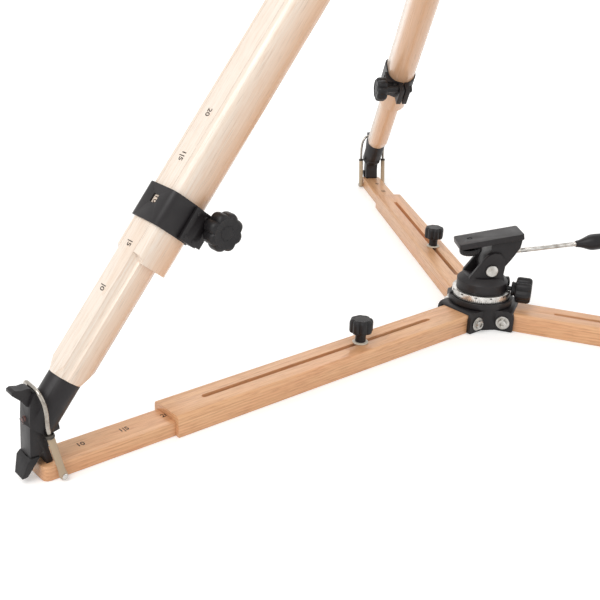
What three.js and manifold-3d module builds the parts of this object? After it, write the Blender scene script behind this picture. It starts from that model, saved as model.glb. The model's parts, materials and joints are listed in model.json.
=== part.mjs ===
// Wooden field tripod standing locked in its three-armed floor spreader, with a small pan and tilt head
// on the spreader's hub. Millimetres, +Z up. The origin is the middle of the hub's underside, on the floor.
import * as THREE from 'three';
import { mergeVertices } from 'three/addons/utils/BufferGeometryUtils.js';
import Module from 'manifold-3d';

const wasm = await Module();
wasm.setup();

// ---------------------------------------------------------------- driving dimensions
const ARM_AZIMUTHS = [210, 90, 330];        // degrees, one leg stands over each arm
const GAP = 0.3;                            // seat clearance between touching pieces
const RUN = 0.4;                            // running clearance of pieces that slide or turn

// spreader arm: a slotted channel with a slat sliding in it
const CHANNEL = { width: 48.2, height: 24.9, reach: 508, edgeRound: 5, solidUntil: 92 };
const SLOT = { width: 6.4, from: 101, to: 462 };
const SLAT = { width: 35.6, height: 16.2, from: 185, tip: 659, tipRound: 7 };
const ARM_KNOB = { at: 225, diameter: 30, height: 22, lobes: 7, neckDiameter: 13.5, neckHeight: 9 };
const ARM_WASHER = { diameter: 20, thickness: 1.6 };
const ARM_SCREW = { diameter: 5.4, intoSlat: 10 };

// hub
const HINGE = { radius: 38, height: 12.45, boltDiameter: 8, headDiameter: 12, headHeight: 5 };
const HINGE_WASHER = { diameter: 18.5, thickness: 1.6 };
const CHEEK = { thickness: 5.4, reach: 52, height: 28.6, cornerRound: 8 };
const HUB = { coreRadius: 24.6, postLength: 40, postWidth: 18, neckRadius: 38 };
const FLANGE = { radius: 43.5, bottom: 30, top: 37.2 };
const POINTER = { azimuth: 170, width: 5, thickness: 2.6, height: 2.4 };

// pan and tilt head; the head's own X runs along the handle
const HEAD_YAW = -4;
const DEGREE_RING = { radius: 39.6, bore: 28.4, height: 9.5 };
const DRUM = { radius: 34.5, height: 14, shoulder: 6, topRadius: 26, edge: 1.5 };
const PAN_BOSS = { height: 55, radius: 7, standsOut: 2.6 };
const PAN_KNOB = { azimuth: -22, height: 50.5, diameter: 36, thickness: 21, neckDiameter: 20,
  neckLength: 6, screwDiameter: 6, from: 40.2, lobes: 6 };
const TILT_AXIS = { x: 6, z: 77.3, diameter: 8, capDiameter: 16.5, capThickness: 3 };
const YOKE = { inside: 13.3, cheek: 5.2, troughRadius: 14.5 };
// outlines in the head's (X, Z)
const CHEEK_SLOPE = [[-23.3, 68], [-12.5, 83.5], [-6, 92.5], [0, 99], [8, 102.5], [16, 101], [22, 94], [24, 84],
  [22.8, 72.5]];
const TILT_ARM_OUTLINE = [[-1, 68.5], [12, 67.5], [17.5, 70.5], [21.8, 76.5], [33.5, 92], [43.8, 108.5], [47, 130],
  [4, 130], [4, 106], [-3, 95], [-7.5, 84], [-6, 73]];
const PLATE = { length: 88, depth: 38, thickness: 8, pitch: 10.3, x: 2.5, z: 118.1 };
const SCREW_KNOB = { x: -26, diameter: 30, thickness: 9, stem: 4, stemDiameter: 12, screwDiameter: 6.2,
  belowFace: 0.6 };
const HANDLE = { startX: 33, startZ: 98.5, rise: 6.7, rodDiameter: 6.2, rodLength: 106, gripDiameter: 22,
  gripLength: 118, coneLength: 17, coneDiameter: 9, bury: 14 };

// legs; a leg's own frame starts at its scale's zero on the flat outer face, +X outward, +Z up the leg
const LEAN = 38.5;                          // degrees from the vertical
const SCALE_ZERO = { beforeTip: 20.3, overSlat: 87.2 };
const OUTER = { width: 46, depth: 52, cornerRound: 9, from: 138, scoop: 7 };
const INNER = { stripWidth: 25, stripDepth: 6.5, coveDepth: 4, width: 34, depth: 41, top: 620 };
const LEG_HINGE = { crownRadius: 61.2, boltDiameter: 8, headDiameter: 14, headHeight: 5, solidLength: 45 };
const FERRULE = { axisDepth: 17.2, radius: 17.25, from: 5, to: -50, boreDepth: 38, spigotRadius: 14 };
const TAPER = { from: 42, radius: 24.6 };
const BAND = { from: 177, to: 215, thickness: 2, windowSize: 9, windowAt: 200, earReach: 18, earThickness: 8,
  split: 2.4 };
const BLOCK = { length: 22, beforeBack: 3, thickness: 4, screwDiameter: 4.4, screwHeight: 1.2 };
const LEG_KNOB = { behindBand: 6.7, aboveMiddle: 11, diameter: 41, thickness: 18, lobes: 8, screwDiameter: 6,
  neckDiameter: 13, overBlock: 1.7 };

// foot and the spring bail that locks it on the slat, both drawn from the top edge of the slat's tip:
// X outward past the tip, Z above the slat
const FOOT = { width: 22, spikeWidth: 9, spikeBottom: -5.2, hornWidth: 13, boltRadius: 4.2, boltHeight: 48.8 };
const FOOT_OUTLINE = [[-23, 33.8], [-10.5, 30.8], [-10, 16.8], [-13.5, 2.3], [-12.5, GAP], [-6.5, GAP], [-4, 16.3],
  [-0.4, 12], [9.4, 12], [7.2, 49.8], [5.5, 65.8], [3, 73.8]];
const HORN_OUTLINE = [[-3, 61.8], [7, 65.8], [12.5, 73.8], [20.4, 81.6], [20.2, 84.6], [17, 86],
  [10, 84.2], [4.5, 84.6], [1.6, 83.6], [0.5, 81.4]];
const HEEL = { width: 25, toeWidth: 3.5, toeAt: 12.5, toeRound: 1.6 };
const HEEL_TOP = [[13.4, 7.8], [9.8, 11.3], [0.4, 11.3], [7.5, -1.2]];
const BAIL = { wireDiameter: 4.5, besideSlat: 4.2, pinBeforeTip: 18, pinHeight: 5, sleeveTop: 38.8,
  sleeveDiameter: 7.4, sleeveLean: 0.2255, collarDiameter: 9.4, collarHeight: 3.6, wireBottom: 19.8,
  boreBottom: 15.8, crest: 82.4, crestReach: -2.2, crestBow: 1, pinHead: 6.4 };

// crown
const CROWN = { plateRadius: 64, plateThickness: 14, lugThickness: 5.4, lugHalfWidth: 21, lugDrop: 19,
  clearance: 2, boreRadius: 5.2 };
const CROWN_SCREW = { diameter: 9.5, standsUp: 11, knobDiameter: 44, knobThickness: 14, stemDiameter: 20,
  stemLength: 6, lobes: 8 };

// ---------------------------------------------------------------- finishes
const finish = (color, roughness, metalness = 0) => new THREE.MeshStandardMaterial({ color, roughness, metalness });
const ARM_WOOD = finish(0xd9a066, 0.45);
const LEG_WOOD = finish(0xe6cba6, 0.4);
const BLACK_CAST = finish(0x2b2a2d, 0.45, 0.6);
const BLACK_PLASTIC = finish(0x1e1d1f, 0.4);
const STEEL = finish(0xc8c8c6, 0.3, 1);
const RUBBER = finish(0x242326, 0.85);
const SLEEVE = finish(0xd8cdb8, 0.5);

// ---------------------------------------------------------------- solids
const radians = THREE.MathUtils.degToRad;

function solid(geometry) {
  const bare = geometry.index ? geometry.toNonIndexed() : geometry.clone();
  bare.deleteAttribute('normal');
  bare.deleteAttribute('uv');
  const welded = mergeVertices(bare, 1e-4);
  return new wasm.Manifold(new wasm.Mesh({
    numProp: 3,
    vertProperties: new Float32Array(welded.attributes.position.array),
    triVerts: new Uint32Array(welded.index.array),
  }));
}

function geometryOf(manifold) {
  const mesh = manifold.getMesh();
  const geometry = new THREE.BufferGeometry();
  geometry.setAttribute('position', new THREE.BufferAttribute(new Float32Array(mesh.vertProperties), 3));
  geometry.setIndex(new THREE.BufferAttribute(new Uint32Array(mesh.triVerts), 1));
  return geometry;
}

const join = (first, ...rest) => rest.reduce((sum, piece) => sum.add(piece), first);
const cut = (body, ...tools) => tools.reduce((rest, tool) => rest.subtract(tool), body);

function box(x0, x1, y0, y1, z0, z1) {
  return solid(new THREE.BoxGeometry(x1 - x0, y1 - y0, z1 - z0)
    .translate((x0 + x1) / 2, (y0 + y1) / 2, (z0 + z1) / 2));
}

// round bar between two points; topRadius makes it a cone
function bar(from, to, radius, segments = 12, topRadius = radius) {
  const start = new THREE.Vector3(...from);
  const end = new THREE.Vector3(...to);
  const direction = end.clone().sub(start);
  const turn = new THREE.Quaternion().setFromUnitVectors(new THREE.Vector3(0, 1, 0), direction.clone().normalize());
  const geometry = new THREE.CylinderGeometry(topRadius, radius, direction.length(), segments);
  geometry.applyQuaternion(turn).translate(...start.add(end).multiplyScalar(0.5).toArray());
  return solid(geometry);
}

// tool for a round hole whose flats clear a bar of the same radius
const hole = (from, to, radius, segments = 12) => bar(from, to, radius / Math.cos(Math.PI / segments), segments);

// turned body: profile of [radius, height] points from axis to axis
const turned = (profile, segments = 28) => solid(new THREE.LatheGeometry(
  profile.map(([radius, height]) => new THREE.Vector2(radius, height)), segments).rotateX(Math.PI / 2));

const BASES = {
  x: [[0, 1, 0], [0, 0, 1], [1, 0, 0]],     // outline in (Y, Z), pushed along +X
  y: [[1, 0, 0], [0, 0, 1], [0, -1, 0]],    // outline in (X, Z), pushed along -Y
  z: [[1, 0, 0], [0, 1, 0], [0, 0, 1]],     // outline in (X, Y), pushed along +Z
};

// outline pushed from one value to another along an axis
function prism(outline, axis, from, to) {
  const geometry = new THREE.ExtrudeGeometry(outline, { depth: to - from, bevelEnabled: false });
  const basis = new THREE.Matrix4().makeBasis(...BASES[axis].map((v) => new THREE.Vector3(...v)));
  const start = axis === 'y' ? new THREE.Vector3(0, to, 0)
    : new THREE.Vector3(axis === 'x' ? from : 0, 0, axis === 'z' ? from : 0);
  return solid(geometry.applyMatrix4(basis.setPosition(start)));
}

const polygon = (points) => new THREE.Shape(points.map(([a, b]) => new THREE.Vector2(a, b)));

// points of an arc about (a, b), from one angle in degrees to another, both ends included
const arc = (a, b, radius, from, to, steps) => Array.from({ length: steps + 1 }, (_, i) => {
  const angle = radians(from + (to - from) * i / steps);
  return [a + radius * Math.cos(angle), b + radius * Math.sin(angle)];
});

// rectangle whose listed corners are rounded, counter-clockwise from the low left one
function roundedRectangle(a0, a1, b0, b1, radii, steps = 3) {
  const corners = [[a0, b0, 1, 1], [a1, b0, -1, 1], [a1, b1, -1, -1], [a0, b1, 1, -1]];
  return polygon(corners.flatMap(([a, b, towardA, towardB], i) => (radii[i]
    ? arc(a + towardA * radii[i], b + towardB * radii[i], radii[i], 180 + 90 * i, 270 + 90 * i, steps)
    : [[a, b]])));
}

// hand-knob outline: rounded lobes around a circle
function lobedOutline(radius, lobes, depth = 0.12, pointsPerLobe = 4) {
  const count = lobes * pointsPerLobe;
  return polygon(Array.from({ length: count }, (_, i) => {
    const angle = 2 * Math.PI * i / count;
    const reach = radius * (1 - depth * (1 - Math.abs(Math.cos(lobes * angle / 2))));
    return [reach * Math.cos(angle), reach * Math.sin(angle)];
  }));
}

// ---------------------------------------------------------------- assembly helpers
const tripod = new THREE.Group();

function piece(group, name, manifold, material) {
  const mesh = new THREE.Mesh(geometryOf(manifold), material);
  mesh.name = name;
  group.add(mesh);
}

// ---------------------------------------------------------------- spreader arm
const slatSide = SLAT.width / 2;
const channelSide = CHANNEL.width / 2;

function channelSolid() {
  const edge = CHANNEL.edgeRound;
  const section = roundedRectangle(-channelSide, channelSide, 0, CHANNEL.height, [0, 0, edge, edge]);
  const cavity = box(CHANNEL.solidUntil, CHANNEL.reach + 1, -slatSide - RUN, slatSide + RUN,
    -1, SLAT.height + RUN);
  const slotEnd = SLOT.width / 2;
  const slot = join(
    box(SLOT.from + slotEnd, SLOT.to - slotEnd, -slotEnd, slotEnd, SLAT.height, CHANNEL.height + 1),
    bar([SLOT.from + slotEnd, 0, SLAT.height], [SLOT.from + slotEnd, 0, CHANNEL.height + 1], slotEnd, 12),
    bar([SLOT.to - slotEnd, 0, SLAT.height], [SLOT.to - slotEnd, 0, CHANNEL.height + 1], slotEnd, 12));
  const half = CHANNEL.height / 2;
  const roundEnd = bar([HINGE.radius, -channelSide, half], [HINGE.radius, channelSide, half], half, 20);
  const bore = hole([HINGE.radius, -channelSide - 1, HINGE.height], [HINGE.radius, channelSide + 1, HINGE.height],
    HINGE.boltDiameter / 2 + RUN);
  return cut(join(prism(section, 'x', HINGE.radius, CHANNEL.reach), roundEnd), cavity, slot, bore);
}

function slatSolid() {
  const outline = roundedRectangle(SLAT.from, SLAT.tip, -slatSide, slatSide, [0, SLAT.tipRound, SLAT.tipRound, 0]);
  const screwHole = hole([ARM_KNOB.at, 0, SLAT.height - ARM_SCREW.intoSlat - 1], [ARM_KNOB.at, 0, SLAT.height + 1],
    ARM_SCREW.diameter / 2 + GAP);
  return cut(prism(outline, 'z', 0, SLAT.height), screwHole);
}

const washerTop = CHANNEL.height + GAP + ARM_WASHER.thickness;

function armWasherSolid() {
  const disc = bar([ARM_KNOB.at, 0, CHANNEL.height + GAP], [ARM_KNOB.at, 0, washerTop], ARM_WASHER.diameter / 2, 16);
  const screwHole = hole([ARM_KNOB.at, 0, CHANNEL.height], [ARM_KNOB.at, 0, washerTop + 1],
    ARM_SCREW.diameter / 2 + GAP);
  return cut(disc, screwHole);
}

function armKnobSolid() {
  const neckBottom = washerTop + GAP;
  const domeBottom = neckBottom + ARM_KNOB.neckHeight;
  const radius = ARM_KNOB.diameter / 2;
  const profile = [[0, 0], [radius * 0.8, 0], [radius, 6], [radius * 0.96, 13], [radius * 0.55, 20.5],
    [0, ARM_KNOB.height]];
  const grooves = prism(lobedOutline(radius, ARM_KNOB.lobes, 0.08, 2), 'z', -1, ARM_KNOB.height + 1);
  const dome = turned(profile, 14).intersect(grooves).translate(ARM_KNOB.at, 0, domeBottom);
  const neck = bar([ARM_KNOB.at, 0, neckBottom], [ARM_KNOB.at, 0, domeBottom + 1], ARM_KNOB.neckDiameter / 2, 12);
  const screw = bar([ARM_KNOB.at, 0, SLAT.height - ARM_SCREW.intoSlat], [ARM_KNOB.at, 0, domeBottom],
    ARM_SCREW.diameter / 2, 12);
  return join(dome, neck, screw);
}

const cheekInside = channelSide + RUN;
const cheekOutside = cheekInside + CHEEK.thickness;

function hingeBoltSolid() {
  const { radius: x, height: z } = HINGE;
  const washerFace = cheekOutside + GAP + HINGE_WASHER.thickness;
  const shank = bar([x, -washerFace, z], [x, washerFace, z], HINGE.boltDiameter / 2);
  const nearWasher = bar([x, cheekOutside + GAP, z], [x, washerFace, z], HINGE_WASHER.diameter / 2, 16);
  const farWasher = bar([x, -washerFace, z], [x, -cheekOutside - GAP, z], HINGE_WASHER.diameter / 2, 16);
  const head = bar([x, -washerFace - HINGE.headHeight, z], [x, -washerFace, z], HINGE.headDiameter / 2, 14);
  const nut = bar([x, washerFace, z], [x, washerFace + HINGE.headHeight, z], HINGE.headDiameter / 2, 6);
  const socketRadius = HINGE.headDiameter / 4;
  const socket = bar([x, -washerFace - HINGE.headHeight - 1, z], [x, -washerFace - 2, z], socketRadius, 6);
  return cut(join(shank, nearWasher, farWasher, head, nut), socket);
}

// ---------------------------------------------------------------- bail, in the slat tip's frame
const floor = -SLAT.height;
const bailSide = slatSide + BAIL.besideSlat;
const pinHeight = floor + BAIL.pinHeight;
const sleeveReachAt = (height) => -BAIL.pinBeforeTip + (height - pinHeight) * BAIL.sleeveLean;

function sleeveSolid(side) {
  const y = side * bailSide;
  const at = (height) => [sleeveReachAt(height), y, height];
  const radius = BAIL.sleeveDiameter / 2;
  const pin = -BAIL.pinBeforeTip;
  const tube = bar(at(pinHeight - 1), at(BAIL.sleeveTop), radius, 8);
  const collar = bar(at(BAIL.sleeveTop - BAIL.collarHeight), at(BAIL.sleeveTop), BAIL.collarDiameter / 2, 8);
  const eye = bar([pin, y - radius, pinHeight], [pin, y + radius, pinHeight], radius + 0.8, 8);
  const head = bar([pin, y, pinHeight], [pin, y + side * (radius + 2), pinHeight], BAIL.pinHead / 2, 8);
  const bore = hole(at(BAIL.boreBottom), at(BAIL.sleeveTop + 1), BAIL.wireDiameter / 2 + GAP, 8);
  const slatFace = side * (slatSide + GAP);
  const beyond = side * (bailSide + 20);
  const aboveFloor = box(pin - 20, pin + 40, Math.min(slatFace, beyond), Math.max(slatFace, beyond),
    floor + GAP, BAIL.sleeveTop + 9);
  return cut(join(tube, collar, eye, head), bore).intersect(aboveFloor);
}

// inverted U: both legs run down into the sleeves, the top crosses the foot's saddle
function bailWireSolid() {
  const top = BAIL.sleeveTop;
  const half = [
    [sleeveReachAt(BAIL.wireBottom), bailSide, BAIL.wireBottom],
    [sleeveReachAt(top - 10), bailSide, top - 10],
    [sleeveReachAt(top - 1), bailSide, top - 1],
    [sleeveReachAt(top + 5) - 0.2, bailSide, top + 5],
    [-5.4, bailSide, top + 13],
    [-5.2, bailSide - 0.5, top + 25],
    [-4, bailSide - 3.5, top + 36],
    [BAIL.crestReach - 0.3, bailSide - 9.5, BAIL.crest - BAIL.crestBow],
  ];
  const points = [...half, [BAIL.crestReach, 0, BAIL.crest], ...half.map(([x, y, z]) => [x, -y, z]).reverse()];
  const path = new THREE.CatmullRomCurve3(points.map((p) => new THREE.Vector3(...p)), false, 'centripetal');
  const section = new THREE.Shape().absarc(0, 0, BAIL.wireDiameter / 2, 0, 2 * Math.PI);
  return solid(new THREE.ExtrudeGeometry(section, { steps: 22, extrudePath: path, curveSegments: 4 }));
}

// ---------------------------------------------------------------- leg
const lean = radians(LEAN);
// place over the slat's tip (X outward, Z up) of a point of the leg's frame
const legPoint = (out, along) => [
  -SCALE_ZERO.beforeTip + out * Math.cos(lean) - along * Math.sin(lean),
  SCALE_ZERO.overSlat + out * Math.sin(lean) + along * Math.cos(lean)];

// section of the upper leg in (X outward, Y across), grown by an offset: flat face, round inner side
function outerOutline(grow = 0) {
  const side = OUTER.width / 2 + grow;
  const centre = -OUTER.depth + OUTER.width / 2;
  const corner = OUTER.cornerRound;
  return polygon([
    ...arc(grow - corner, -side + corner, corner, -90, 0, 5),
    ...arc(grow - corner, side - corner, corner, 0, 90, 5),
    ...arc(centre, 0, side, 90, 270, 10)]);
}

// section of the lower leg: a flat strip on a round-backed body, joined by a cove on each side
function innerOutline(grow = 0, out = 0) {
  const strip = INNER.stripWidth / 2 + grow;
  const side = INNER.width / 2 + grow;
  const centre = -INNER.depth + INNER.width / 2;
  const shoulder = -INNER.stripDepth - INNER.coveDepth + grow;
  const half = [[out, strip], [-INNER.stripDepth + grow, strip], [shoulder + 1, strip + (side - strip) * 0.4],
    [shoulder, side]];
  return polygon([...half.map(([x, y]) => [x, -y]).reverse(), ...half, ...arc(centre, 0, side, 90, 270, 8)]);
}

const hingeDepth = -OUTER.depth / 2;
const hingeAlong = (SLAT.tip - LEG_HINGE.crownRadius + legPoint(hingeDepth, 0)[0]) / Math.sin(lean);

function legOuterSolid() {
  const body = prism(outerOutline(), 'z', OUTER.from, hingeAlong);
  const channel = prism(innerOutline(RUN, 1), 'z', OUTER.from - 1, hingeAlong - LEG_HINGE.solidLength);
  const eyeRadius = OUTER.depth / 2;
  const side = OUTER.width / 2;
  const eye = bar([hingeDepth, -side, hingeAlong], [hingeDepth, side, hingeAlong], eyeRadius, 24);
  const bore = hole([hingeDepth, -side - 1, hingeAlong], [hingeDepth, side + 1, hingeAlong],
    LEG_HINGE.boltDiameter / 2 + RUN);
  const scoop = bar([2, -side - 5, OUTER.from - OUTER.scoop], [2, side + 5, OUTER.from - OUTER.scoop],
    2 * OUTER.scoop, 16);
  return cut(join(body, eye), channel, bore, scoop);
}

function legInnerSolid() {
  const body = prism(innerOutline(), 'z', FERRULE.from + GAP, INNER.top);
  const reach = TAPER.from - FERRULE.from;
  const grow = TAPER.radius - FERRULE.radius;
  const flank = [0, 0.25, 0.5, 0.75, 1].map((t) => [
    FERRULE.radius + grow * Math.sin(t * Math.PI / 2), FERRULE.from + reach * t]);
  const envelope = turned([[0, FERRULE.from], ...flank, [60, TAPER.from + 20], [60, INNER.top], [0, INNER.top]], 24)
    .translate(-FERRULE.axisDepth, 0, 0);
  const spigot = bar([-FERRULE.axisDepth, 0, FERRULE.from + 1],
    [-FERRULE.axisDepth, 0, FERRULE.from - FERRULE.boreDepth + 1], FERRULE.spigotRadius, 12);
  return join(body.intersect(envelope), spigot);
}

const back = -OUTER.depth - GAP - BAND.thickness / 2;
const legKnobDepth = back - LEG_KNOB.behindBand;
const legKnobAlong = (BAND.from + BAND.to) / 2 + LEG_KNOB.aboveMiddle;
const bandSide = OUTER.width / 2 + GAP + BAND.thickness;

function bandSolid() {
  const inside = prism(outerOutline(GAP), 'z', BAND.from - 1, BAND.to + 1);
  const ring = prism(outerOutline(GAP + BAND.thickness), 'z', BAND.from, BAND.to);
  const earHalf = BAND.earThickness + BAND.split / 2;
  const ears = box(back - BAND.earReach, back, -earHalf, earHalf, BAND.from + 4, BAND.to);
  const split = box(back - BAND.earReach - 1, back + BAND.thickness, -BAND.split / 2, BAND.split / 2,
    BAND.from - 1, BAND.to + 1);
  const screwHole = hole([legKnobDepth, -earHalf - 1, legKnobAlong], [legKnobDepth, earHalf + 1, legKnobAlong],
    LEG_KNOB.screwDiameter / 2 + GAP);
  const halfWindow = BAND.windowSize / 2;
  const window = box(-1, 9, -halfWindow, halfWindow, BAND.windowAt - halfWindow, BAND.windowAt + halfWindow);
  return cut(join(ring, ears), inside, split, screwHole, window);
}

// reinforcing plate riveted to the band's near side
function blockSolid() {
  const side = bandSide + GAP;
  const to = -OUTER.depth + BLOCK.beforeBack;
  const from = to + BLOCK.length;
  const strap = prism(outerOutline(2 * GAP + BAND.thickness), 'z', BAND.from - 1, BAND.to + 1);
  const plate = box(to, from, 0, side + BLOCK.thickness, BAND.from + 1, BAND.to - 1);
  const screws = [[from - 5, BAND.from + 6], [from - 5, BAND.to - 6],
    [to + 6, BAND.from + 6], [to + 6, BAND.to - 6]].map(([x, z]) => bar(
    [x, side + BLOCK.thickness - 1, z], [x, side + BLOCK.thickness + BLOCK.screwHeight, z],
    BLOCK.screwDiameter / 2, 7));
  const nearHalf = box(to - 5, from + 5, side - 9, side + 20, BAND.from, BAND.to);
  return join(plate, ...screws).intersect(nearHalf).subtract(strap);
}

function legKnobSolid() {
  const earFace = BAND.earThickness + BAND.split / 2 + GAP;
  const lobesFrom = bandSide + GAP + BLOCK.thickness + LEG_KNOB.overBlock;
  const across = (from, to, radius, segments) => bar([legKnobDepth, from, legKnobAlong],
    [legKnobDepth, to, legKnobAlong], radius, segments);
  const lobes = prism(lobedOutline(LEG_KNOB.diameter / 2, LEG_KNOB.lobes), 'y',
    lobesFrom, lobesFrom + LEG_KNOB.thickness).translate(legKnobDepth, 0, legKnobAlong);
  const neck = across(earFace, lobesFrom + 1, LEG_KNOB.neckDiameter / 2, 14);
  const screw = across(-earFace - 5, earFace + 2, LEG_KNOB.screwDiameter / 2, 12);
  const nut = across(-earFace - 5, -earFace, LEG_KNOB.screwDiameter, 6);
  return join(lobes, neck, screw, nut);
}

// ---------------------------------------------------------------- foot, in the slat tip's frame
function footSolid() {
  const along = (value) => {
    const [x, z] = legPoint(-FERRULE.axisDepth, value);
    return [x, 0, z];
  };
  const ferrule = bar(along(FERRULE.to), along(FERRULE.from), FERRULE.radius, 20);
  const bore = hole(along(FERRULE.from - FERRULE.boreDepth), along(FERRULE.from + 1), FERRULE.spigotRadius + GAP);
  const saddle = BAIL.crest - BAIL.crestBow - BAIL.wireDiameter / 2 - GAP;
  const half = FOOT.width / 2;
  const body = prism(polygon([...FOOT_OUTLINE, [1, saddle - 2], [-2.5, saddle], [-5.5, saddle - 2.5],
    [-8, saddle - 9], [-19, saddle - 11]]), 'y', -half, half);
  const horn = prism(polygon([...HORN_OUTLINE, [0.5, saddle], [-2.5, saddle]]), 'y',
    -FOOT.hornWidth / 2, FOOT.hornWidth / 2);
  const spike = prism(polygon([[2.5, 13.8], [8.8, 13.8], [12.2, FOOT.spikeBottom], [10.6, FOOT.spikeBottom]]),
    'y', -FOOT.spikeWidth / 2, FOOT.spikeWidth / 2);
  const bolt = bar([1, 0, FOOT.boltHeight], [10, 0, FOOT.boltHeight], FOOT.boltRadius, 16);
  return cut(join(ferrule, body, horn, spike, bolt), bore);
}

function heelSolid() {
  const half = HEEL.width / 2;
  const outline = [[HEEL.toeAt - 2, floor + HEEL.toeRound], [HEEL.toeAt, floor], [HEEL.toeAt + HEEL.toeWidth, floor],
    [HEEL.toeAt + HEEL.toeWidth + 1.2, floor + 2], ...HEEL_TOP];
  const socket = prism(polygon([[1.9, 14.8], [9.3, 14.8], [12.7, FOOT.spikeBottom - GAP],
    [10.2, FOOT.spikeBottom - GAP]]), 'y', -FOOT.spikeWidth / 2 - GAP, FOOT.spikeWidth / 2 + GAP);
  return cut(prism(polygon(outline), 'y', -half, half), socket);
}

// ---------------------------------------------------------------- hub
const hubDeck = CHANNEL.height + RUN;       // underside of the deck over the arms

function hubSolid() {
  const arms = ARM_AZIMUTHS.map((azimuth) => {
    const plate = prism(roundedRectangle(10, CHEEK.reach, 0, CHEEK.height, [0, 2, CHEEK.cornerRound, 0]),
      'y', -cheekOutside, cheekOutside);
    return plate.rotate([0, 0, azimuth]);
  });
  const posts = ARM_AZIMUTHS.map((azimuth) => box(0, HUB.postLength, -HUB.postWidth / 2, HUB.postWidth / 2, 0,
    CHEEK.height).rotate([0, 0, azimuth + 60]));
  const rooms = ARM_AZIMUTHS.map((azimuth) => {
    const half = CHANNEL.height / 2;
    const room = join(
      box(HUB.coreRadius, CHEEK.reach + 20, -cheekInside, cheekInside, -1, hubDeck),
      bar([HINGE.radius, -cheekInside, half], [HINGE.radius, cheekInside, half], half + RUN, 20));
    const bore = hole([HINGE.radius, -60, HINGE.height], [HINGE.radius, 60, HINGE.height],
      HINGE.boltDiameter / 2 + RUN);
    return join(room, bore).rotate([0, 0, azimuth]);
  });
  const core = turned([[0, 0], [HUB.coreRadius, 0], [HUB.coreRadius, hubDeck], [HUB.neckRadius, hubDeck],
    [HUB.neckRadius, FLANGE.bottom], [FLANGE.radius, FLANGE.bottom], [FLANGE.radius, FLANGE.top],
    [0, FLANGE.top]], 30);
  const pointer = box(DEGREE_RING.radius + RUN, DEGREE_RING.radius + RUN + POINTER.thickness,
    -POINTER.width / 2, POINTER.width / 2, FLANGE.bottom, FLANGE.top + POINTER.height)
    .rotate([0, 0, POINTER.azimuth]);
  return join(cut(join(core, ...arms, ...posts), ...rooms), pointer);
}

// ---------------------------------------------------------------- head, in the head's frame
const ringBottom = FLANGE.top + RUN;
const ringTop = ringBottom + DEGREE_RING.height;
const drumTop = ringTop + GAP + DRUM.height;

const degreeRingSolid = () => cut(
  bar([0, 0, ringBottom], [0, 0, ringTop], DEGREE_RING.radius, 36),
  bar([0, 0, ringBottom - 1], [0, 0, ringTop + 1], DEGREE_RING.bore, 28));

function panBodySolid() {
  const spigot = DEGREE_RING.bore - GAP;
  const top = drumTop + DRUM.shoulder;
  const drum = turned([[0, ringBottom], [spigot, ringBottom], [spigot, ringTop + GAP], [DRUM.radius, ringTop + GAP],
    [DRUM.radius, drumTop - DRUM.edge], [DRUM.radius - DRUM.edge, drumTop], [DRUM.topRadius, top], [0, top]], 32);
  const outline = polygon([[-25, drumTop - 4], ...CHEEK_SLOPE, [26, drumTop - 4]]);
  const cheeks = [-1, 1].map((side) => prism(outline, 'y', ...[side * YOKE.inside, side * (YOKE.inside + YOKE.cheek)]
    .sort((a, b) => a - b)));
  const across = (reach) => [[TILT_AXIS.x, -reach, TILT_AXIS.z], [TILT_AXIS.x, reach, TILT_AXIS.z]];
  const axleHole = hole(...across(40), TILT_AXIS.diameter / 2 + GAP);
  const trough = bar(...across(YOKE.inside), YOKE.troughRadius, 24);
  const knobAngle = radians(PAN_KNOB.azimuth);
  const toward = (reach) => [reach * Math.cos(knobAngle), reach * Math.sin(knobAngle), PAN_KNOB.height];
  const screwHole = hole(toward(DRUM.radius - 12), toward(DRUM.radius + 9), PAN_KNOB.screwDiameter / 2 + GAP);
  const boss = bar([DRUM.radius - 6, 0, PAN_BOSS.height], [DRUM.radius + PAN_BOSS.standsOut, 0, PAN_BOSS.height],
    PAN_BOSS.radius, 24);
  return cut(join(drum, ...cheeks, boss), axleHole, trough, screwHole);
}

function panKnobSolid() {
  const { from, neckLength, thickness } = PAN_KNOB;
  const lobes = prism(lobedOutline(PAN_KNOB.diameter / 2, PAN_KNOB.lobes), 'x', from + neckLength,
    from + neckLength + thickness);
  const neck = bar([from, 0, 0], [from + neckLength + 1, 0, 0], PAN_KNOB.neckDiameter / 2, 24);
  const screw = bar([DRUM.radius - 10, 0, 0], [from + 1, 0, 0], PAN_KNOB.screwDiameter / 2);
  return join(lobes, neck, screw).rotate([0, 0, PAN_KNOB.azimuth]).translate(0, 0, PAN_KNOB.height);
}

const armHalf = YOKE.inside - RUN;

// direction and height of the tilted camera plate's frame
const plateFrame = (manifold) => manifold.rotate([0, -PLATE.pitch, 0]).translate(PLATE.x, 0, PLATE.z);

function tiltArmSolid() {
  const body = prism(polygon(TILT_ARM_OUTLINE), 'y', -armHalf, armHalf);
  const abovePlate = plateFrame(box(-90, 90, -40, 40, -PLATE.thickness / 2 - GAP, 60));
  const axleHole = hole([TILT_AXIS.x, -40, TILT_AXIS.z], [TILT_AXIS.x, 40, TILT_AXIS.z],
    TILT_AXIS.diameter / 2 + GAP);
  return cut(body, abovePlate, axleHole, handleRod(RUN));
}

function tiltAxleSolid() {
  const face = YOKE.inside + YOKE.cheek + GAP;
  const { x, z } = TILT_AXIS;
  const shank = bar([x, -face, z], [x, face, z], TILT_AXIS.diameter / 2, 12);
  const caps = [-1, 1].map((side) => bar([x, side * face, z], [x, side * (face + TILT_AXIS.capThickness), z],
    TILT_AXIS.capDiameter / 2, 18, TILT_AXIS.capDiameter / 2 - 1));
  return join(shank, ...caps);
}

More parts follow.
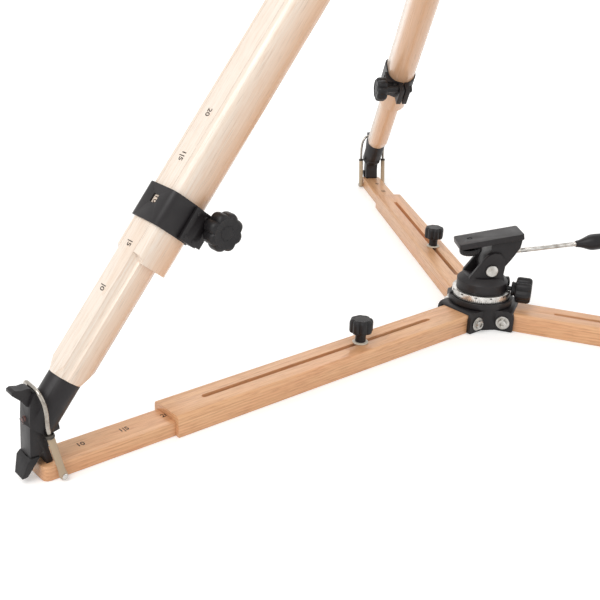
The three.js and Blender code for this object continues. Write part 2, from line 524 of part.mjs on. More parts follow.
function cameraPlateSolid() {
  const half = PLATE.thickness / 2;
  const outline = roundedRectangle(-PLATE.length / 2, PLATE.length / 2, -PLATE.depth / 2, PLATE.depth / 2,
    [3, 3, 3, 3]);
  const screwHole = hole([SCREW_KNOB.x, 0, -half - 1], [SCREW_KNOB.x, 0, half + 1],
    SCREW_KNOB.screwDiameter / 2 + GAP);
  return plateFrame(cut(prism(outline, 'z', -half, half), screwHole));
}

function screwKnobSolid() {
  const top = -PLATE.thickness / 2 - GAP;
  const { x, stem, thickness } = SCREW_KNOB;
  const neck = bar([x, 0, top - stem - 1], [x, 0, top], SCREW_KNOB.stemDiameter / 2, 12);
  const disc = turned([[0, 0], [SCREW_KNOB.diameter / 2 - 3, 0], [SCREW_KNOB.diameter / 2, 3],
    [SCREW_KNOB.diameter / 2, thickness - 1], [SCREW_KNOB.diameter / 2 - 1, thickness], [0, thickness]], 18)
    .translate(x, 0, top - stem - thickness);
  const screw = bar([x, 0, top - 1], [x, 0, PLATE.thickness / 2 - SCREW_KNOB.belowFace],
    SCREW_KNOB.screwDiameter / 2);
  return plateFrame(join(neck, disc, screw));
}

const handlePoint = (along) => [
  HANDLE.startX + along * Math.cos(radians(HANDLE.rise)), 0,
  HANDLE.startZ + along * Math.sin(radians(HANDLE.rise))];

function handleRod(grow = 0) {
  return bar(handlePoint(-grow), handlePoint(HANDLE.rodLength), HANDLE.rodDiameter / 2 + grow, 16);
}

function gripSolid() {
  const start = HANDLE.rodLength - HANDLE.bury;
  const radius = HANDLE.gripDiameter / 2;
  const end = HANDLE.gripLength;
  const grip = turned([[0, 0], [HANDLE.coneDiameter / 2, 0], [radius - 1.5, HANDLE.coneLength],
    [radius, HANDLE.coneLength + 6], [radius - 2, end * 0.55], [radius, end - 10], [radius - 4, end - 1],
    [0, end]], 16);
  return grip.rotate([0, 90 - HANDLE.rise, 0]).translate(...handlePoint(start)).subtract(handleRod(GAP));
}

// ---------------------------------------------------------------- crown
const crownHingeRadius = LEG_HINGE.crownRadius;
const crownHingeHeight = SLAT.height + legPoint(hingeDepth, hingeAlong)[1];
const lugInside = OUTER.width / 2 + RUN;
const lugOutside = lugInside + CROWN.lugThickness;
const crownDeck = crownHingeHeight + OUTER.depth / 2 + CROWN.clearance;
const crownTop = crownDeck + CROWN.plateThickness;

function crownSolid() {
  const plate = turned([[0, crownDeck], [CROWN.plateRadius + 14, crownDeck], [CROWN.plateRadius + 14, crownDeck + 6],
    [CROWN.plateRadius, crownTop - 2], [CROWN.plateRadius - 2, crownTop], [0, crownTop]], 24);
  const lugs = ARM_AZIMUTHS.map((azimuth) => {
    const outline = roundedRectangle(crownHingeRadius - CROWN.lugHalfWidth, crownHingeRadius + CROWN.lugHalfWidth,
      crownHingeHeight - CROWN.lugDrop, crownDeck + 3, [12, 12, 0, 0]);
    const pair = cut(prism(outline, 'y', -lugOutside, lugOutside), box(0, 200, -lugInside, lugInside, 0, crownDeck));
    const bore = hole([crownHingeRadius, -60, crownHingeHeight], [crownHingeRadius, 60, crownHingeHeight],
      LEG_HINGE.boltDiameter / 2 + RUN);
    return cut(pair, bore).rotate([0, 0, azimuth]);
  });
  const bore = hole([0, 0, crownDeck - 1], [0, 0, crownTop + 1], CROWN.boreRadius);
  return cut(join(plate, ...lugs), bore);
}

function crownBoltSolid() {
  const face = lugOutside + GAP;
  const [x, z] = [crownHingeRadius, crownHingeHeight];
  const shank = bar([x, -face, z], [x, face, z], LEG_HINGE.boltDiameter / 2);
  const head = bar([x, -face - LEG_HINGE.headHeight, z], [x, -face, z], LEG_HINGE.headDiameter / 2, 14);
  const nut = bar([x, face, z], [x, face + LEG_HINGE.headHeight, z], LEG_HINGE.headDiameter / 2, 6);
  return join(shank, head, nut);
}

function crownScrewSolid() {
  const seat = crownDeck - GAP;
  const knobTop = seat - CROWN_SCREW.stemLength;
  const knob = prism(lobedOutline(CROWN_SCREW.knobDiameter / 2, CROWN_SCREW.lobes), 'z',
    knobTop - CROWN_SCREW.knobThickness, knobTop);
  const stem = bar([0, 0, knobTop - 1], [0, 0, seat], CROWN_SCREW.stemDiameter / 2, 14);
  const screw = bar([0, 0, seat - 1], [0, 0, crownTop + CROWN_SCREW.standsUp], CROWN_SCREW.diameter / 2, 12);
  return join(knob, stem, screw);
}

// ---------------------------------------------------------------- the whole object
const head = new THREE.Group();
head.rotation.z = radians(HEAD_YAW);
tripod.add(head);
piece(tripod, 'hub_casting', hubSolid(), BLACK_CAST);
piece(head, 'degree_ring', degreeRingSolid(), STEEL);
piece(head, 'pan_body', panBodySolid(), BLACK_CAST);
piece(head, 'pan_lock_knob', panKnobSolid(), BLACK_PLASTIC);
piece(head, 'tilt_arm', tiltArmSolid(), BLACK_CAST);
piece(head, 'tilt_axle', tiltAxleSolid(), STEEL);
piece(head, 'camera_plate', cameraPlateSolid(), BLACK_CAST);
piece(head, 'camera_screw_knob', screwKnobSolid(), BLACK_PLASTIC);
piece(head, 'handle_rod', handleRod(), STEEL);
piece(head, 'handle_grip', gripSolid(), BLACK_PLASTIC);
piece(tripod, 'crown_casting', crownSolid(), BLACK_CAST);
piece(tripod, 'crown_screw', crownScrewSolid(), BLACK_PLASTIC);

ARM_AZIMUTHS.forEach((azimuth, index) => {
  const number = index + 1;
  const arm = new THREE.Group();
  arm.rotation.z = radians(azimuth);
  tripod.add(arm);
  piece(arm, `arm_channel_${number}`, channelSolid(), ARM_WOOD);
  piece(arm, `arm_slat_${number}`, slatSolid(), ARM_WOOD);
  piece(arm, `arm_knob_${number}`, armKnobSolid(), BLACK_PLASTIC);
  piece(arm, `arm_washer_${number}`, armWasherSolid(), STEEL);
  piece(arm, `arm_hinge_bolt_${number}`, hingeBoltSolid(), STEEL);
  piece(arm, `crown_hinge_bolt_${number}`, crownBoltSolid(), STEEL);

  const foot = new THREE.Group();
  foot.position.set(SLAT.tip, 0, SLAT.height);
  arm.add(foot);
  piece(foot, `bail_sleeve_near_${number}`, sleeveSolid(1), SLEEVE);
  piece(foot, `bail_sleeve_far_${number}`, sleeveSolid(-1), SLEEVE);
  piece(foot, `bail_wire_${number}`, bailWireSolid(), STEEL);
  piece(foot, `foot_casting_${number}`, footSolid(), BLACK_CAST);
  piece(foot, `rubber_heel_${number}`, heelSolid(), RUBBER);

  const leg = new THREE.Group();
  leg.position.set(-SCALE_ZERO.beforeTip, 0, SCALE_ZERO.overSlat);
  leg.rotation.y = -lean;
  foot.add(leg);
  piece(leg, `leg_outer_${number}`, legOuterSolid(), LEG_WOOD);
  piece(leg, `leg_inner_${number}`, legInnerSolid(), LEG_WOOD);
  piece(leg, `clamp_band_${number}`, bandSolid(), BLACK_PLASTIC);
  piece(leg, `clamp_block_${number}`, blockSolid(), BLACK_PLASTIC);
  piece(leg, `clamp_knob_${number}`, legKnobSolid(), BLACK_PLASTIC);
});

export default tripod;
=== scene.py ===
"""Looks of the wooden field tripod and its floor spreader.

Finishes, worked copies of the plain solids, and the small turned, bent and printed pieces. Metres, +Z up,
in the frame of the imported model; profiles are in millimetres.
"""

import json
import logging
import math
from dataclasses import dataclass
from enum import Enum

import bpy
from mathutils import Matrix, Vector


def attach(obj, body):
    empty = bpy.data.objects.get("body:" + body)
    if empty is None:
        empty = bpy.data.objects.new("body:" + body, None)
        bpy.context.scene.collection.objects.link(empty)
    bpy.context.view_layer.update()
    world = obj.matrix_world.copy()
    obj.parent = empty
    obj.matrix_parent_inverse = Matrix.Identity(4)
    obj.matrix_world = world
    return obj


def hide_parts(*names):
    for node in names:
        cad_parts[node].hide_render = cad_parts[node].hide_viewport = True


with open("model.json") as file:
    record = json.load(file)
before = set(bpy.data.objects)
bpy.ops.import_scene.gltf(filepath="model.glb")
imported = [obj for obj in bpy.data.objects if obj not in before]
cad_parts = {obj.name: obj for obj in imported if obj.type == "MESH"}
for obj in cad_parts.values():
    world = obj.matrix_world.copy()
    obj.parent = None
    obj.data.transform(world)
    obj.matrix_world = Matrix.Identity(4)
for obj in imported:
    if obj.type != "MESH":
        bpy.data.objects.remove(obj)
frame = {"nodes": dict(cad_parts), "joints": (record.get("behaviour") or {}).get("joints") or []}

log = logging.getLogger("tripod")
Color = tuple[float, float, float, float]
Point = tuple[float, float, float]
Profile = tuple[tuple[float, float], ...]
Figures = tuple[tuple[float, str], ...]
MM = 0.001
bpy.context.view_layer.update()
JOINTS = {joint["name"]: joint for joint in frame["joints"]}
ARM_AZIMUTHS = {1: 210.0, 2: 90.0, 3: 330.0}
LEAN = math.radians(38.5)
SLAT_TIP = Vector((659.0 * MM, 0.0, 16.2 * MM))
SCALE_ZERO = Vector((638.7 * MM, 0.0, 103.4 * MM))


def turn_z(degrees: float) -> Matrix:
    """Turn about the vertical."""
    return Matrix.Rotation(math.radians(degrees), 4, "Z")


def arm_place(number: int) -> Matrix:
    """Frame of an arm: X outward from the hub, Z up.

    Args:
        number: 1, 2 or 3.

    Returns:
        The matrix from the arm's frame to the row frame.
    """
    return turn_z(ARM_AZIMUTHS[number])


def leg_place(number: int) -> Matrix:
    """Frame of a leg: X out of its flat face, Z up the leg, from its scale's base.

    Args:
        number: 1, 2 or 3.

    Returns:
        The matrix from the leg's frame to the row frame.
    """
    return arm_place(number) @ Matrix.Translation(SCALE_ZERO) @ Matrix.Rotation(-LEAN, 4, "Y")


def tip_place(number: int) -> Matrix:
    """Frame of a slat's tip: X outward past the tip, Z up from the slat's top."""
    return arm_place(number) @ Matrix.Translation(SLAT_TIP)


GRAIN_UP_LEG = Matrix(((0, 0, 1, 0), (0, -1, 0, 0), (1, 0, 0, 0), (0, 0, 0, 1)))


# ------------------------------------------------------------------ finishes
class Graph:
    """A material's node tree, with short calls for the nodes that the finishes use."""

    def __init__(self, name: str) -> None:
        """Starts a material that holds one Principled shader."""
        self.material = bpy.data.materials.new(name)
        self.material.use_nodes = True
        self.nodes = self.material.node_tree.nodes
        self.shader = self.nodes["Principled BSDF"]
        self.coordinates = self.nodes.new("ShaderNodeTexCoord").outputs["Object"]

    def link(self, source: bpy.types.NodeSocket, target: bpy.types.NodeSocket) -> None:
        """Joins two sockets."""
        self.material.node_tree.links.new(source, target)

    def add(self, kind: str, inputs: dict[str, object], **settings: object) -> bpy.types.Node:
        """Adds a node.

        Args:
            kind: The node's type name.
            inputs: Socket names or numbers, with a number, a colour or a socket for each.
            settings: The node's own properties.

        Returns:
            The node.
        """
        node = self.nodes.new(kind)
        for key, value in settings.items():
            setattr(node, key, value)
        for key, value in inputs.items():
            if isinstance(value, bpy.types.NodeSocket):
                self.link(value, node.inputs[key])
            else:
                node.inputs[key].default_value = value
        return node

    def stretched(self, source: bpy.types.NodeSocket, scale: Point) -> bpy.types.NodeSocket:
        """Coordinates multiplied by a scale."""
        return self.add("ShaderNodeMapping", {"Vector": source, "Scale": scale}).outputs["Vector"]

    def noise(self, source: bpy.types.NodeSocket, scale: float, detail: float = 3.0) -> bpy.types.Node:
        """Noise of a scale per metre."""
        return self.add("ShaderNodeTexNoise", {"Vector": source, "Scale": scale, "Detail": detail})

    def span(self, value: bpy.types.NodeSocket, start: float, end: float, low: float = 0.0,
             high: float = 1.0) -> bpy.types.NodeSocket:
        """Value from start to end spread over low to high, and held there."""
        return self.add("ShaderNodeMapRange", {"Value": value, "From Min": start, "From Max": end,
                                               "To Min": low, "To Max": high}).outputs["Result"]

    def mixed(self, factor: object, first: object, second: object,
              blend: str = "MIX") -> bpy.types.NodeSocket:
        """Two colours mixed by a factor."""
        node = self.add("ShaderNodeMix", {}, data_type="RGBA", blend_type=blend)
        for key, value in (("Factor_Float", factor), ("A_Color", first), ("B_Color", second)):
            socket = next(s for s in node.inputs if s.identifier == key)
            if isinstance(value, bpy.types.NodeSocket):
                self.link(value, socket)
            else:
                socket.default_value = value
        return next(s for s in node.outputs if s.identifier == "Result_Color")

    def math(self, operation: str, first: object, second: object = 0.0) -> bpy.types.NodeSocket:
        """One step of arithmetic on two values."""
        return self.add("ShaderNodeMath", {0: first, 1: second}, operation=operation).outputs[0]

    def bump(self, height: bpy.types.NodeSocket, strength: float, distance: float) -> None:
        """Gives the shader a bump from a height."""
        node = self.add("ShaderNodeBump", {"Height": height, "Strength": strength, "Distance": distance})
        self.link(node.outputs["Normal"], self.shader.inputs["Normal"])

    def set(self, **sockets: float) -> None:
        """Sets shader sockets to plain numbers; an underscore stands for a space."""
        for key, value in sockets.items():
            self.shader.inputs[key.replace("_", " ")].default_value = value


@dataclass(frozen=True)
class Wood:
    """Varnished board: growth rings seen lengthways, fine pores, patches of deeper tone, and painted shade
    towards its back.
    """

    pale: Color
    deep: Color
    patch: Color
    ring_pitch: float = 3.4 * MM
    ring_share: float = 0.55
    roughness: float = 0.4
    coat: float = 0.25
    fleck: Color = (0.46, 0.19, 0.08, 1)
    fleck_share: float = 0.42
    # Painted shade on the board's back, where it faces away from the light: the colour turns towards this
    # orange, by up to the share below, between the two depths below.
    back: Color = (0.74, 0.40, 0.2, 1)
    back_share: float = 0.0
    back_from: float = -9.0 * MM
    back_to: float = -36.0 * MM
    drift_scale: Point = (2.2, 14.0, 14.0)
    drift_reach: Point = (0.0, 0.016, 0.016)
    fibre_scale: Point = (9.0, 460.0, 460.0)
    pore_scale: Point = (38.0, 1900.0, 1900.0)
    patch_scale: Point = (5.0, 34.0, 34.0)
    fleck_scale: Point = (46.0, 620.0, 620.0)
    pore_shade: float = 0.45

    def build(self, name: str, place: Matrix, pith: tuple[float, float], shift: float) -> bpy.types.Material:
        """Makes the material of one board.

        Args:
            name: The material's name.
            place: The board's frame, with its grain along X.
            pith: The middle of the growth rings in the board's Y and Z, in metres.
            shift: How far along the log the board was cut, so that no two boards match.

        Returns:
            The material.
        """
        graph = Graph(name)
        board = graph.add("ShaderNodeMapping", {
            "Vector": graph.coordinates, "Location": place.translation, "Rotation": place.to_euler("XYZ")},
            vector_type="TEXTURE").outputs["Vector"]
        # Depth behind the board's face, which sets the painted shade on its back.
        depth = graph.add("ShaderNodeSeparateXYZ", {"Vector": board}).outputs["Z"]
        board = graph.add("ShaderNodeMapping", {"Vector": board, "Location": (shift, -pith[0], -pith[1])}
                          ).outputs["Vector"]
        drift = graph.noise(graph.stretched(board, self.drift_scale), 1.0, 2.0).outputs["Color"]
        centred = graph.add("ShaderNodeVectorMath", {0: drift, 1: (0.5, 0.5, 0.5)}, operation="SUBTRACT")
        scaled = graph.add("ShaderNodeVectorMath", {0: centred.outputs[0], 1: self.drift_reach},
                           operation="MULTIPLY")
        wavy = graph.add("ShaderNodeVectorMath", {0: board, 1: scaled.outputs[0]}, operation="ADD").outputs[0]
        rings = graph.add("ShaderNodeTexWave", {
            "Vector": wavy, "Scale": 2 * math.pi / (20.0 * self.ring_pitch), "Distortion": 0.0,
            "Phase Offset": shift * 40.0}, wave_type="RINGS", rings_direction="X", wave_profile="SAW")
        line = graph.span(rings.outputs["Fac"], 0.35, 1.0)
        fibre = graph.noise(graph.stretched(wavy, self.fibre_scale), 1.0, 4.0).outputs["Fac"]
        pores = graph.noise(graph.stretched(board, self.pore_scale), 1.0, 1.0).outputs["Fac"]
        pores = graph.span(pores, 0.62, 0.74)
        patches = graph.noise(graph.stretched(board, self.patch_scale), 1.0, 2.0).outputs["Fac"]
        patches = graph.span(patches, 0.42, 0.66)
        ring_tone = graph.math("MULTIPLY", line, self.ring_share)
        tone = graph.mixed(ring_tone, self.pale, self.deep)
        tone = graph.mixed(graph.span(patches, 0.0, 1.0, 0.0, 0.5), tone, self.patch)
        tone = graph.mixed(graph.span(fibre, 0.3, 0.7, 0.0, 0.35), tone, self.deep)
        flecks = graph.noise(graph.stretched(wavy, self.fleck_scale), 1.0, 2.0).outputs["Fac"]
        tone = graph.mixed(graph.span(flecks, 0.54, 0.68, 0.0, self.fleck_share), tone, self.fleck)
        tone = graph.mixed(graph.span(flecks, 0.44, 0.34, 0.0, self.fleck_share), tone, self.pale)
        pore_tone = tuple(self.pore_shade * c for c in self.deep[:3]) + (1.0,)
        # Painted shade: the deeper behind the face, the more the colour turns to the orange back tone.
        painted_back_shade = graph.span(depth, self.back_from, self.back_to, 0.0, self.back_share)
        tone = graph.mixed(painted_back_shade, tone, self.back)
        tone = graph.mixed(graph.span(pores, 0.0, 1.0, 0.0, 0.4), tone, pore_tone)
        graph.link(tone, graph.shader.inputs["Base Color"])
        graph.link(graph.span(fibre, 0.25, 0.75, self.roughness - 0.07, self.roughness + 0.1),
                   graph.shader.inputs["Roughness"])
        graph.bump(graph.mixed(0.5, fibre, line), 0.22, 0.25 * MM)
        graph.set(Coat_Weight=self.coat, Coat_Roughness=0.22)
        return graph.material


@dataclass(frozen=True)
class Moulded:
    """Black casting, plastic or rubber: a fine pebbled skin with rubbed and dusty places."""

    tone: Color
    rubbed: Color
    grain: float = 900.0
    depth: float = 0.12 * MM
    roughness: float = 0.42
    rubbed_share: float = 0.5

    def build(self, name: str) -> bpy.types.Material:
        """Makes the material."""
        graph = Graph(name)
        pebble = graph.noise(graph.coordinates, self.grain, 4.0).outputs["Fac"]
        cloud = graph.noise(graph.coordinates, 34.0, 5.0).outputs["Fac"]
        rub = graph.span(cloud, 0.45, 0.7, 0.0, self.rubbed_share)
        graph.link(graph.mixed(rub, self.tone, self.rubbed), graph.shader.inputs["Base Color"])
        graph.link(graph.span(cloud, 0.3, 0.7, self.roughness + 0.08, self.roughness - 0.06),
                   graph.shader.inputs["Roughness"])
        graph.bump(pebble, 0.35, self.depth)
        graph.set(Specular_IOR_Level=0.34)
        return graph.material


@dataclass(frozen=True)
class Metal:
    """Bare or plated metal with fine turning marks and dull patches."""

    tone: Color
    dull: Color
    roughness: float = 0.28

    def build(self, name: str) -> bpy.types.Material:
        """Makes the material."""
        graph = Graph(name)
        cloud = graph.noise(graph.coordinates, 120.0, 5.0).outputs["Fac"]
        marks = graph.noise(graph.stretched(graph.coordinates, (60.0, 60.0, 2600.0)), 1.0, 2.0).outputs["Fac"]
        graph.link(graph.mixed(graph.span(cloud, 0.4, 0.7), self.tone, self.dull),
                   graph.shader.inputs["Base Color"])
        graph.link(graph.span(marks, 0.3, 0.7, self.roughness - 0.08, self.roughness + 0.12),
                   graph.shader.inputs["Roughness"])
        graph.bump(marks, 0.15, 0.05 * MM)
        graph.set(Metallic=1.0)
        return graph.material


@dataclass(frozen=True)
class Graduated:
    """Turned ring with fine dark lines around its rim, every fifth one longer."""

    tone: Color = (0.70, 0.69, 0.665, 1)
    dull: Color = (0.42, 0.405, 0.375, 1)
    ink: Color = (0.03, 0.028, 0.026, 1)
    lines: int = 90
    width: float = 0.16
    rim_bottom: float = 38.6 * MM
    short_top: float = 41.4 * MM
    long_top: float = 43.4 * MM

    def build(self, name: str) -> bpy.types.Material:
        """Makes the material."""
        graph = Graph(name)
        apart = graph.add("ShaderNodeSeparateXYZ", {"Vector": graph.coordinates}).outputs
        angle = graph.math("ARCTAN2", apart["Y"], apart["X"])
        marks = 0.0
        for count, top in ((self.lines, self.short_top), (self.lines // 5, self.long_top)):
            turn = graph.math("FRACT", graph.math("MULTIPLY", angle, count / (2.0 * math.pi)))
            line = graph.math("LESS_THAN", turn, self.width * count / self.lines)
            above = graph.math("GREATER_THAN", apart["Z"], self.rim_bottom)
            below = graph.math("LESS_THAN", apart["Z"], top)
            line = graph.math("MULTIPLY", line, graph.math("MULTIPLY", above, below))
            marks = graph.math("MAXIMUM", marks, line)
        cloud = graph.noise(graph.coordinates, 150.0, 5.0).outputs["Fac"]
        bare = graph.mixed(graph.span(cloud, 0.4, 0.7), self.tone, self.dull)
        graph.link(graph.mixed(marks, bare, self.ink), graph.shader.inputs["Base Color"])
        graph.link(graph.span(cloud, 0.3, 0.7, 0.22, 0.4), graph.shader.inputs["Roughness"])
        turning = graph.noise(graph.stretched(graph.coordinates, (30.0, 30.0, 3200.0)), 1.0, 2.0)
        graph.bump(turning.outputs["Fac"], 0.2, 0.05 * MM)
        graph.set(Metallic=1.0)
        return graph.material


ARM_WOOD = Wood((0.80, 0.47, 0.25, 1), (0.56, 0.27, 0.12, 1), (0.76, 0.36, 0.18, 1), ring_share=0.62)
# The legs' boards carry painted shade on their backs; the arms' boards carry none.
LEG_WOOD = Wood((0.92, 0.82, 0.72, 1), (0.72, 0.53, 0.38, 1), (0.90, 0.72, 0.58, 1), ring_pitch=5.2 * MM,
                ring_share=0.34, roughness=0.3, coat=0.6, fleck=(0.72, 0.44, 0.28, 1), fleck_share=0.22,
                back_share=0.8)
BLACK_CAST = Moulded((0.012, 0.010, 0.011, 1), (0.029, 0.025, 0.026, 1))
BLACK_PLASTIC = Moulded((0.008, 0.007, 0.008, 1), (0.020, 0.018, 0.019, 1), grain=1500.0, depth=0.05 * MM)
RUBBER = Moulded((0.02, 0.019, 0.02, 1), (0.045, 0.042, 0.042, 1), roughness=0.7)
PRINT = Moulded((0.03, 0.02, 0.015, 1), (0.09, 0.05, 0.03, 1), roughness=0.6)
CREAM = Moulded((0.66, 0.60, 0.50, 1), (0.76, 0.72, 0.64, 1), grain=700.0, depth=0.04 * MM, roughness=0.45)
TAN = Moulded((0.46, 0.35, 0.235, 1), (0.60, 0.49, 0.36, 1), grain=900.0, depth=0.03 * MM, roughness=0.3)
STEEL = Metal((0.60, 0.585, 0.56, 1), (0.36, 0.34, 0.31, 1), roughness=0.24)
WIRE_STEEL = Metal((0.42, 0.39, 0.35, 1), (0.24, 0.21, 0.18, 1), roughness=0.2)
DARK_STEEL = Metal((0.10, 0.09, 0.08, 1), (0.05, 0.045, 0.04, 1), roughness=0.35)
REDDENED = Moulded((0.10, 0.045, 0.04, 1), (0.16, 0.09, 0.075, 1), roughness=0.4)


class Slot(Enum):
    """The record's material slots."""

    ARM_WOOD = "arm_wood"
    LEG_WOOD = "leg_wood"
    KNOB = "knob_black"
    CLAMP = "clamp_black"
    CAST = "cast_black"
    HEEL = "heel_rubber"
    STEEL = "steel"
    RING = "ring_aluminium"
    WASHER = "washer_pale"
    SLEEVE = "sleeve_pale"


# ------------------------------------------------------------------ the shop
def only(piece: bpy.types.Object) -> None:
    """Selects one object and makes it the active one."""
    if bpy.context.object and bpy.context.object.mode != "OBJECT":
        bpy.ops.object.mode_set(mode="OBJECT")
    bpy.ops.object.select_all(action="DESELECT")
    piece.select_set(True)
    bpy.context.view_layer.objects.active = piece


def apply(piece: bpy.types.Object, kind: str, **settings: object) -> None:
    """Adds a modifier, sets it and applies it."""
    only(piece)
    modifier = piece.modifiers.new(kind.lower(), kind)
    for key, value in settings.items():
        setattr(modifier, key, value)
    bpy.ops.object.modifier_apply(modifier=modifier.name)


def settle(piece: bpy.types.Object, place: Matrix, smooth: float = 38.0) -> bpy.types.Object:
    """Puts a piece in its place, leaves its object at the origin, and smooths its shading.

    Args:
        piece: The piece, drawn in its own frame.
        place: From the piece's frame to the row frame.
        smooth: Edges flatter than this angle in degrees are shaded smooth.

    Returns:
        The piece.
    """
    only(piece)
    piece.matrix_world = place @ piece.matrix_world
    bpy.ops.object.transform_apply(location=True, rotation=True, scale=True)
    bpy.ops.object.mode_set(mode="EDIT")
    bpy.ops.mesh.select_all(action="SELECT")
    bpy.ops.mesh.remove_doubles(threshold=1e-6)
    bpy.ops.mesh.normals_make_consistent(inside=False)
    bpy.ops.object.mode_set(mode="OBJECT")
    bpy.ops.object.shade_smooth_by_angle(angle=math.radians(smooth))
    return piece


def turned(name: str, profile: Profile, sides: int = 48) -> bpy.types.Object:
    """Round piece about +Z: a disc that is drawn along Z and resized through its profile.

    Args:
        name: The piece's name.
        profile: Radius and height of each ring in millimetres, in order.
        sides: Corners around.

    Returns:
        The piece, about the origin.
    """
    bpy.ops.object.select_all(action="DESELECT")
    radius, height = profile[0]
    bpy.ops.mesh.primitive_circle_add(vertices=sides, radius=radius * MM, fill_type="NGON",
                                      location=(0, 0, height * MM))
    piece = bpy.context.object
    piece.name = name
    bpy.ops.object.transform_apply(location=True)
    bpy.ops.object.mode_set(mode="EDIT")
    bpy.ops.mesh.select_all(action="SELECT")
    for next_radius, next_height in profile[1:]:
        bpy.ops.mesh.extrude_region_move(
            TRANSFORM_OT_translate={"value": (0.0, 0.0, (next_height - height) * MM)})
        factor = next_radius / radius
        bpy.ops.transform.resize(value=(factor, factor, 1.0), center_override=(0.0, 0.0, next_height * MM))
        radius, height = next_radius, next_height
    bpy.ops.object.mode_set(mode="OBJECT")
    return piece


def lobed(piece: bpy.types.Object, lobes: int, depth: float, head: tuple[float, float]) -> None:
    """Presses finger hollows between the lobes of a knob's head.

    Args:
        piece: The turned knob, about the origin.
        lobes: Number of lobes around.
        depth: Depth of the hollows as a share of the radius.
        head: Lowest and highest part of the head, in millimetres along the axis.
    """
    for vertex in piece.data.vertices:
        if head[0] <= vertex.co.z / MM <= head[1]:
            angle = math.atan2(vertex.co.y, vertex.co.x)
            share = 1.0 - depth * (1.0 - abs(math.cos(lobes * angle / 2.0)) ** 0.8)
            vertex.co.x *= share
            vertex.co.y *= share


def bent_wire(name: str, points: list[Point], radius: float) -> bpy.types.Object:
    """Round wire along a smooth line.

    Args:
        name: The piece's name.
        points: Points of the line in millimetres.
        radius: The wire's radius in millimetres.

    Returns:
        The wire as a mesh.
    """
    data = bpy.data.curves.new(name, "CURVE")
    data.dimensions = "3D"
    data.bevel_depth, data.bevel_resolution, data.use_fill_caps = radius * MM, 5, True
    data.resolution_u = 10
    spline = data.splines.new("BEZIER")
    spline.bezier_points.add(len(points) - 1)
    for knot, point in zip(spline.bezier_points, points):
        knot.co = Vector(point) * MM
        knot.handle_left_type = knot.handle_right_type = "AUTO"
    piece = bpy.data.objects.new(name, data)
    bpy.context.scene.collection.objects.link(piece)
    only(piece)
    bpy.ops.object.convert(target="MESH")
    return bpy.context.object


def worked(node: str, edge: float, smooth: float = 38.0, flat: float = 1.5) -> bpy.types.Object:
    """Copy of a plain solid with merged points, clean faces and softened edges.

    Args:
        node: The solid's node.
        edge: Width of the softened edges in millimetres.
        smooth: Edges flatter than this angle in degrees are shaded smooth and stay sharp in shape.
        flat: Faces that turn less than this angle in degrees are made one.

    Returns:
        The copy, which has the node's name with _worked after it.
    """
    source = frame["nodes"][node]
    piece = bpy.data.objects.new(f"{node}_worked", source.data.copy())
    bpy.context.scene.collection.objects.link(piece)
    piece.data.materials.clear()
    only(piece)
    bpy.ops.mesh.customdata_custom_splitnormals_clear()
    bpy.ops.object.mode_set(mode="EDIT")
    bpy.ops.mesh.select_all(action="SELECT")
    bpy.ops.mesh.remove_doubles(threshold=2e-6)
    bpy.ops.mesh.dissolve_limited(angle_limit=math.radians(flat))
    bpy.ops.object.mode_set(mode="OBJECT")
    apply(piece, "BEVEL", width=edge * MM, segments=3, limit_method="ANGLE", angle_limit=math.radians(smooth),
          use_clamp_overlap=True, miter_outer="MITER_ARC")
    only(piece)
    bpy.ops.object.shade_smooth_by_angle(angle=math.radians(smooth))
    return piece


def printed(name: str, words: str, size: float, place: Matrix) -> bpy.types.Object:
    """Printed figures: thin raised characters, reading along X with their tops along Y.

    Args:
        name: The piece's name.
        words: The figures.
        size: Height of the characters in millimetres.
        place: The middle of the figures, with Z out of the surface.

    Returns:
        The piece.
    """
    bpy.ops.object.select_all(action="DESELECT")
    bpy.ops.object.text_add()
    piece = bpy.context.object
    piece.name = name
    piece.data.body = words
    piece.data.size = size * MM
    piece.data.align_x = "CENTER"
    piece.data.align_y = "CENTER"
    piece.data.extrude = 0.1 * MM
    piece.data.offset = 0.14 * MM
    piece.data.resolution_u = 3
    bpy.ops.object.convert(target="MESH")
    return settle(piece, place)


def along(origin: Vector, axis: Vector) -> Matrix:
    """Place of a piece that is drawn up +Z, standing at a point along an axis."""
    return Matrix.Translation(origin) @ Vector((0, 0, 1)).rotation_difference(axis).to_matrix().to_4x4()


def at_joint(name: str) -> Matrix:
    """Place at a joint's point, with Z along its axis."""
    joint = JOINTS[name]
    return along(Vector(joint["pos_m"]), Vector(joint["axis"]))


def fit(piece: bpy.types.Object, material: bpy.types.Material, body: str, slot: Slot, *nodes: str) -> None:
    """Gives a finished piece its material and its body, and hides the plain solids that it stands for.

    Args:
        piece: The piece, in place.
        material: Its finish.
        body: The body that it moves with.
        slot: The record's slot that the finish comes from; it is not used.
        nodes: The plain solids that it replaces.
    """
    piece.data.materials.clear()
    piece.data.materials.append(material)
    for polygon in piece.data.polygons:
        polygon.material_index = 0
    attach(piece, body)
    if nodes:
        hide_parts(*nodes)
    log.info("%s on %s: %d faces", piece.name, body, len(piece.data.polygons))


@dataclass(frozen=True)
class Turning:
    """A turned or moulded round piece about a joint's axis, in place of its plain solid."""

    node: str
    joint: str
    body: str
    finish: str
    slot: Slot
    profile: Profile
    lobes: int = 0
    depth: float = 0.13
    head: tuple[float, float] = (0.0, 0.0)
    sides: int = 48

    def make(self) -> None:
        """Turns the piece, presses its finger hollows, and fits it on its joint."""
        piece = turned(f"{self.node}_turned", self.profile, self.sides)
        if self.lobes:
            lobed(piece, self.lobes, self.depth, self.head)
        settle(piece, at_joint(self.joint))
        fit(piece, FINISHES[self.finish], self.body, self.slot, self.node)


